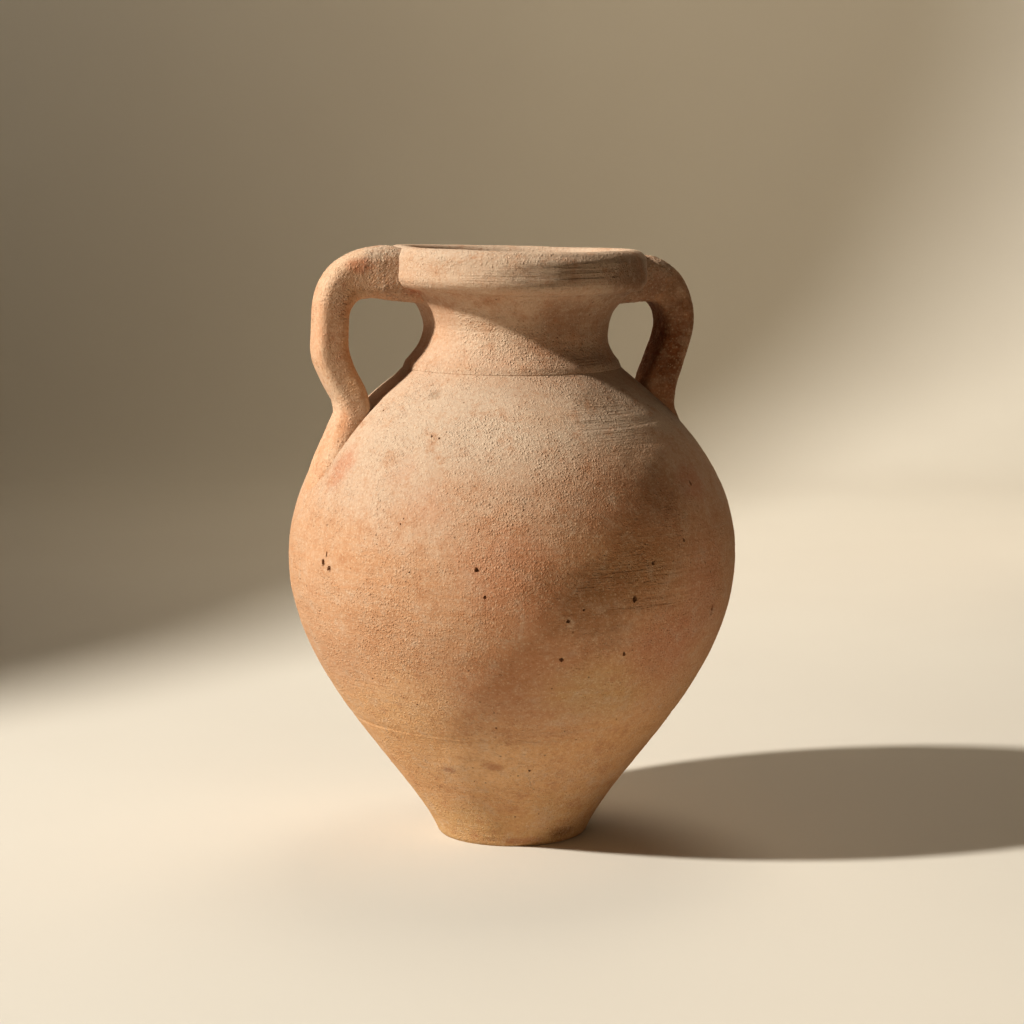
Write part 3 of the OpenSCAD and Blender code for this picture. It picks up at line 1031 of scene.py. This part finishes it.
def press_pits(piece, pits):
    """Refines the mesh round each pit and pushes its floor in. Marks the depth as a point attribute, which
    the clay reads to paint the pit floor darker, as painted shade.
    """
    bm = bmesh.new()
    bm.from_mesh(piece.data)
    for spread, extra in ((1.3, 2.2), (1.1, 1.3), (0.9, 0.6)):
        tree = search_tree(bm)
        edges = set()
        for height, turn, width, depth, tall in pits:
            reach = (width * max(1.0, tall) * spread + extra) * MM
            near = {i for _, i, _ in tree.find_range(on_pot(height, turn), reach)}
            for i in near:
                edges.update(e for e in bm.verts[i].link_edges if e.other_vert(bm.verts[i]).index in near)
        bmesh.ops.subdivide_edges(bm, edges=list(edges), cuts=1, use_grid_fill=True)
        bm.verts.index_update()
    bm.normal_update()
    layer = bm.verts.layers.float.new("pit_shade")
    tree = search_tree(bm)
    moves = {}
    for height, turn, width, depth, tall in pits:
        middle = Vector(on_pot(height, turn))
        out = Vector((middle.x, middle.y, 0)).normalized()
        side = Vector((-out.y, out.x, 0))
        for place, i, _ in tree.find_range(middle, width * max(1.0, tall) * 1.3 * MM):
            apart = place - middle
            across, along = apart.dot(side) / MM, apart.z / MM
            away = math.hypot(across, along / tall) / (width / 2)
            away += 0.55 * noise.noise(place * 620) + 0.2 * noise.noise(place * 1600)
            if away < 1.35:
                bowl = max(0.0, 1 - away**2) ** 0.7 if away < 1 else 0.0
                lip = 0.1 * math.exp(-((away - 1.1) / 0.18) ** 2)
                moves[i] = max(moves.get(i, (-1, 0)), (bowl * depth - lip, bowl))
    for i, (push, dark) in moves.items():
        v = bm.verts[i]
        v.co -= v.normal * push * MM
        v[layer] = min(0.85, dark * 0.95)
    bm.to_mesh(piece.data)
    bm.free()
    return len(moves)


for name, (foot, top) in PITTED.items():
    here = [p for p in NAMED_PITS + SCATTERED_PITS if foot + FREE_EDGE < p[0] * MM < top - FREE_EDGE]
    moved = press_pits(walls[name], here)
    print(f"{name}: {len(here)} pits, {moved} points pressed in")

# %% [markdown]
# ## Lines left by the wheel
# Some marks are single strokes and not a pattern: a line turned at the joint, grooves dragged by a grain
# under the potter's finger, and a few soft strokes on the shoulder. Each one is a shallow groove pressed into
# the wall near one height. All but the turned line cover part of a turn and fade out at both ends.

# %% Turned lines and drag marks
# Height (mm), first and last turn (degrees), width and depth (mm), and how many mm the line climbs.
WHEEL_LINES = [
    (86, 0, 360, 3.4, 1.1, 0), (123, 190, 300, 3.0, 0.3, 1), (176, 262, 306, 3.4, 0.8, 2),
    (199, 262, 284, 2.6, 0.6, 0), (193, 268, 296, 2.4, 0.5, 1), (205, 270, 300, 2.4, 0.5, -1),
    (214, 276, 304, 2.8, 0.4, 1), (278, 268, 326, 3.4, 0.4, -3), (290, 266, 324, 3.4, 0.4, -2),
    (302, 258, 300, 3.2, 0.35, -1), (240, 285, 318, 2.6, 0.4, -1),
    (52, 180, 300, 3.0, 0.35, 0), (150, 60, 140, 3.2, 0.5, 1), (232, 90, 170, 3.0, 0.5, 0),
    (101, 20, 110, 2.8, 0.4, 0), (256, 20, 80, 2.6, 0.4, 2),
]


STROKE = 0.42


def read_points(mesh, what="co"):
    values = np.empty(len(mesh.vertices) * 3, np.float32)
    mesh.vertices.foreach_get(what, values)
    return values.reshape(-1, 3).astype(float)


def write_points(mesh, co):
    mesh.vertices.foreach_set("co", co.astype(np.float32).ravel())
    mesh.update()


def drag_lines(piece):
    mesh = piece.data
    co, normal = read_points(mesh), read_points(mesh, "normal")
    count = len(co)
    turn = np.degrees(np.arctan2(co[:, 1], co[:, 0])) % 360
    outside = (normal[:, :2] * co[:, :2]).sum(1) > 0
    push = np.zeros(count)
    for height, first, last, width, depth, climb in WHEEL_LINES:
        share = (turn - first) / (last - first)
        inside = (share > 0) & (share < 1)
        fade = np.clip(np.sin(np.pi * np.clip(share, 0, 1)) * 2, 0, 1)
        if last - first == 360:
            fade = np.ones(count)
        level = height + climb * share + 0.5 * np.sin(np.radians(turn) * 9)
        fade = fade * (0.35 + 0.65 * np.abs(np.sin(np.radians(turn * 3.1 + height * 17))))
        push += inside * fade * STROKE * depth * np.exp(-(((co[:, 2] / MM - level) / (width / 2)) ** 2))
    push *= outside
    co -= normal * push[:, None] * MM
    write_points(mesh, co)
    return int((push > 0.05).sum())


for name in ("lower_body", "belly", "shoulder"):
    print(name, "wheel lines moved", drag_lines(walls[name]), "points")

# %% [markdown]
# ## Temper
# The clay is mixed with sand so that it doesn't crack in the fire. The larger grains stand proud of the
# wall and catch the light one by one. Geometry Nodes scatter them: points on the outer faces, a small rough
# pebble on each point with a random size, and real geometry at the end.

# %% The sand tree


def sand_tree():
    tree, inputs, result = node_group("Sand", ("Grains", "Size", "Outside"), ("Seed",))
    number, vector, add = link_maths(tree, "number"), link_maths(tree, "vector"), node_maker(tree)
    flat = vector("MULTIPLY", add("GeometryNodeInputPosition").outputs[0], (1.0, 1.0, 0.0))
    facing = vector("DOT_PRODUCT", add("GeometryNodeInputNormal").outputs[0], flat)
    spread = add("GeometryNodeDistributePointsOnFaces", {
        "Mesh": inputs["Geometry"], "Selection": number("GREATER_THAN", facing, inputs["Outside"]),
        "Density": inputs["Grains"], "Seed": inputs["Seed"]}).outputs
    pebble = add("GeometryNodeMeshIcoSphere", {"Subdivisions": 1, "Radius": inputs["Size"]})
    size = add("FunctionNodeRandomValue", {
        0: (0.45, 0.45, 0.3), 1: (1.25, 1.1, 0.62), "Seed": inputs["Seed"]}, data_type="FLOAT_VECTOR")
    drop = add("GeometryNodeInstanceOnPoints", {
        "Points": spread["Points"], "Instance": pebble.outputs["Mesh"],
        "Rotation": spread["Rotation"], "Scale": size.outputs[0]})
    finish_tree(add, drop.outputs[0], inputs, result)
    return tree


sand = sand_tree()


def sprinkle(piece, name, grains, size, seed, material, outside=0.0):
    base = piece.copy()
    base.data = piece.data.copy()
    bpy.context.scene.collection.objects.link(base)
    return run_tree(sand, base, name, {
        "Grains": float(grains), "Size": size * MM, "Outside": outside, "Seed": seed, "Clay": material})


def join(name, parts):
    """One mesh from several objects."""
    bm = bmesh.new()
    for part in parts:
        bm.from_mesh(part.data)
    mesh = bpy.data.meshes.new(name)
    bm.to_mesh(mesh)
    bm.free()
    mesh.materials.append(parts[0].data.materials[0])
    for part in parts:
        bpy.data.objects.remove(part)
    return put(name, mesh)


sand_clay = clay("sand_clay", slip=1.6, sand=0.6)
wall_sand = join("sand_on_walls", [
    sprinkle(walls[name], name + "_sand", 10000, 0.46, 5 + i, sand_clay, 0.001)
    for i, name in enumerate(("lower_body", "belly", "shoulder", "neck", "rim_collar"))])
strap_sand = join("sand_on_handles", [
    sprinkle(handles["left"], "left_sand", 9000, 0.42, 41, sand_clay, -1.0),
    sprinkle(handles["right"], "right_sand", 9000, 0.42, 42, sand_clay, -1.0),
    sprinkle(packings["left"], "left_crumbs", 34000, 0.55, 43, sand_clay, -1.0),
    sprinkle(packings["right"], "right_crumbs", 50000, 0.6, 44, sand_clay, -1.0)])
for piece in (wall_sand, strap_sand):
    print(piece.name, len(piece.data.polygons), "faces")

# %% [markdown]
# ## Settling
# A thrown pot is never quite true. This one's neck leans three millimetres to the right, and its mouth dips
# to that side by about a degree and sags two millimetres at the back. One function bends every piece in the
# same way, so joints stay closed.

# %% Let the neck lean
AZIMUTH = -15.0
turn_view = math.radians(AZIMUTH)
RIGHT = Vector((math.cos(turn_view), math.sin(turn_view), 0))
AWAY = Vector((-math.sin(turn_view), math.cos(turn_view), 0))
LEAN = 3.0 * MM
DIP = math.tan(math.radians(1.2))
SAG = 0.028


def seen(right, away, up):
    """A place given to the right of the pot's axis, behind it and above the floor."""
    return RIGHT * right + AWAY * away + Vector((0, 0, up))


def settle(piece):
    co = read_points(piece.data)
    rise = ease(np.clip((co[:, 2] - shoulder_z) / (30 * MM), 0, 1))
    far = ease(np.clip((co[:, 2] - (rim_z - 30 * MM)) / (30 * MM), 0, 1))
    behind = co[:, 0] * AWAY.x + co[:, 1] * AWAY.y
    co[:, 2] -= far * (co[:, 0] * DIP + np.maximum(behind, 0) * SAG + 0.5 * MM)
    co[:, 0] += rise * LEAN
    co[:, 2] = np.maximum(co[:, 2], 0)
    write_points(piece.data, co)


made = [*walls.values(), *handles.values(), *packings.values(), wall_sand, strap_sand]
for piece in made:
    settle(piece)

# %% [markdown]
# ## Finishing the meshes
# Last, each mesh is made sound: doubles merged, loose edges removed, many-sided faces cut into triangles, and
# its edges marked sharp only where the clay really turns a corner, so that the joint faces don't darken the
# walls beside them.

# %% Sound meshes
CORNER = math.radians(48)


def make_sound(piece):
    bm = bmesh.new()
    bm.from_mesh(piece.data)
    bmesh.ops.remove_doubles(bm, verts=bm.verts, dist=0.002 * MM)
    loose = [e for e in bm.edges if not e.link_faces]
    bmesh.ops.delete(bm, geom=loose, context="EDGES")
    bmesh.ops.triangulate(bm, faces=[f for f in bm.faces if len(f.verts) > 4])
    for face in bm.faces:
        face.smooth = True
    for edge in bm.edges:
        edge.smooth = len(edge.link_faces) == 2 and edge.calc_face_angle(0) < CORNER
    open_edges = sum(len(e.link_faces) != 2 for e in bm.edges)
    triangles = sum(len(f.verts) - 2 for f in bm.faces)
    bm.to_mesh(piece.data)
    bm.free()
    return open_edges, triangles


for piece in made:
    open_edges, triangles = make_sound(piece)
    print(f"{piece.name}: {triangles} triangles, {open_edges} open edges")

# %% [markdown]
# ## Hanging the clay on the frame
# The pot has no moving parts, so every piece rides on the one body. Each piece is listed with the CAD nodes
# it stands for, which are hidden, and with the name of a clay of the record, which the code below doesn't
# use.

# %% Rides and replaced nodes
STANDS_FOR = [
    (walls["base_disc"], ("base_disc",), "base_clay"),
    (walls["lower_body"], ("lower_body",), "body_clay"),
    (walls["belly"], ("belly",), "body_clay"),
    (walls["shoulder"], ("shoulder",), "body_clay"),
    (walls["neck"], ("neck",), "neck_clay"),
    (walls["rim_collar"], ("rim_collar",), "neck_clay"),
    (walls["neck_coil"], ("neck_coil",), "joining_clay"),
    (handles["left"], ("handle_left", "handle_left_tail"), "handle_clay"),
    (handles["right"], ("handle_right", "handle_right_tail"), "handle_clay"),
    (packings["left"], ("handle_left_luting",), "joining_clay"),
    (packings["right"], ("handle_right_luting",), "joining_clay"),
    (wall_sand, (), "body_clay"),
    (strap_sand, (), "handle_clay"),
]
for piece, nodes, slot in STANDS_FOR:
    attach(piece, "root")
    if nodes:
        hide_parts(*nodes)
print(len(STANDS_FOR), "pieces ride on the pot's one body")

# %% [markdown]
# ## Studio
# The pot stands on a pale sweep: a floor that curves up into a backdrop, so there is no line behind it. A
# low, fairly hard key light from the left rakes over the clay and shows its grain. The pale floor throws
# warm light back into the shaded side, and a weak sky fills the rest.

# %% Sweep


def studio_sweep():
    front, back, bend, high, half = -3.2, 2.6, 0.8, 2.6, 4.5
    path = [(front, 0.0), (-1.0, 0.0), (0.0, 0.0), (1.0, 0.0)]
    path += [
        (back - bend + bend * math.sin(a), bend - bend * math.cos(a))
        for a in np.linspace(0, math.pi / 2, 24)
    ]
    path.append((back, high))
    points = [seen(x, y, z) for y, z in path for x in (-half, half)]
    faces = [(2 * i, 2 * i + 1, 2 * i + 3, 2 * i + 2) for i in range(len(path) - 1)]
    mesh = bpy.data.meshes.new("studio_sweep")
    mesh.from_pydata([tuple(p) for p in points], [], faces)
    for face in mesh.polygons:
        face.use_smooth = True
    return put("studio_sweep", mesh)


def plaster():
    f = Finish("plaster")
    tone = f.mix(f.band(f.cloud(1.6, 3.0), 0.3, 0.7, 0.0, 1.0), (0.665, 0.645, 0.60), (0.685, 0.67, 0.625))
    return f.matt(tone, f.bump(f.cloud(90, 4.0), 0.4 * MM, None, 0.3), 0.95, 0.15)


sweep = studio_sweep()
sweep.data.materials.append(plaster())

# %% Lights
# The key stands far off, so its light is even over the whole set. A flag, a black card on a stand that the
# camera doesn't see, keeps the key off the left of the backdrop, which makes the pot's lit side stand out
# against it. Two more cards keep the form strong: one stops the key short of the floor in front, the other,
# at the right, keeps the backdrop's bounce off the shaded side.
KEY_FROM_LEFT = math.radians(18)
KEY_UP = math.radians(36)
KEY_DISTANCE = 6.5
key_way = (-RIGHT * math.cos(KEY_FROM_LEFT) - AWAY * math.sin(KEY_FROM_LEFT)) * math.cos(KEY_UP)
key_way += Vector((0, 0, math.sin(KEY_UP)))
target = Vector((0, 0, 0.17))
key = put("key", bpy.data.lights.new("key", "SPOT"))
key.location = target + key_way * KEY_DISTANCE
key.rotation_euler = (-key_way).to_track_quat("-Z", "Y").to_euler()
key.data.energy = 2230
key.data.color = (1.0, 0.93, 0.82)
key.data.shadow_soft_size = 0.21
key.data.spot_size = math.radians(70)
key.data.spot_blend = 0.2


def soft_box(name, at, towards, width, power, colour, spread):
    """A square soft light, placed and aimed in the camera's right, away and up directions."""
    box = put(name, bpy.data.lights.new(name, "AREA"))
    box.location = seen(*at)
    aim = seen(*towards) - box.location
    box.rotation_euler = aim.to_track_quat("-Z", "Y").to_euler()
    box.data.size = width
    box.data.energy = power
    box.data.color = colour
    box.data.spread = math.radians(spread)
    box.visible_camera = False


soft_box("overhead", (0.45, 1.5, 2.5), (0.55, 0.35, 0.0), 1.6, 5.6, (1.0, 0.82, 0.62), 75)
soft_box("backdrop_wash", (0.42, 1.2, 2.0), (0.34, 2.55, 0.45), 1.0, 6.3, (1.0, 0.80, 0.56), 120)
soft_box("low_reflector", (0.36, -0.76, 0.04), (0.02, 0.0, 0.10), 0.5, 0.56, (1.0, 0.72, 0.45), 110)

FLAG_STAND = -2.0
# Corners of the cards: how far behind the pot, and how high, in metres.
FLAG_EDGE = [
    (-0.36, 0.9), (-0.30, 1.35), (-0.145, 1.49), (0.43, 1.74),
    (0.50, 2.1), (0.49, 3.2), (3.0, 3.2), (3.0, 0.9)]
FRONT_EDGE = [(-0.93, 1.1), (-0.93, 1.35), (-1.0, 1.6), (-1.09, 2.1), (-3.5, 2.1), (-3.5, 1.1)]
SHADE_STAND = 0.62
SHADE_EDGE = [(-1.3, 0.24), (-1.3, 1.5), (1.1, 1.5), (1.1, 0.24)]


def black_card(name, stand, edge):
    """A flat black card across the set, out of the camera's sight."""
    f = Finish(name)
    shader = f.add("ShaderNodeBsdfDiffuse", {"Color": (0.015, 0.015, 0.015, 1)})
    mesh = bpy.data.meshes.new(name)
    points = [seen(stand, back, up) for back, up in edge]
    mesh.from_pydata([tuple(v) for v in points], [], [tuple(range(len(edge)))])
    mesh.materials.append(f.end_in(shader))
    card = put(name, mesh)
    card.visible_camera = False


black_card("flag", FLAG_STAND, FLAG_EDGE)
black_card("front_flag", FLAG_STAND, FRONT_EDGE)
black_card("shade_card", SHADE_STAND, SHADE_EDGE)

world = bpy.data.worlds.new("studio")
world.use_nodes = True
sky = world.node_tree.nodes["Background"]
sky.inputs["Color"].default_value = (0.78, 0.64, 0.48, 1)
sky.inputs["Strength"].default_value = 0.03
bpy.context.scene.world = world
bpy.context.scene.view_settings.view_transform = "Standard"
bpy.context.scene.view_settings.look = "Medium High Contrast"

# %% Camera
EYE_HEIGHT = 0.4773
EYE_DISTANCE = 1.84
PITCH = math.radians(7.96)
camera = put("camera", bpy.data.cameras.new("camera"))
camera.location = -AWAY * EYE_DISTANCE + Vector((0, 0, EYE_HEIGHT))
look = AWAY * math.cos(PITCH) - Vector((0, 0, math.sin(PITCH)))
camera.rotation_euler = look.to_track_quat("-Z", "Y").to_euler()
camera.data.lens = 96.14
camera.data.sensor_width = 36.0
bpy.context.scene.camera = camera
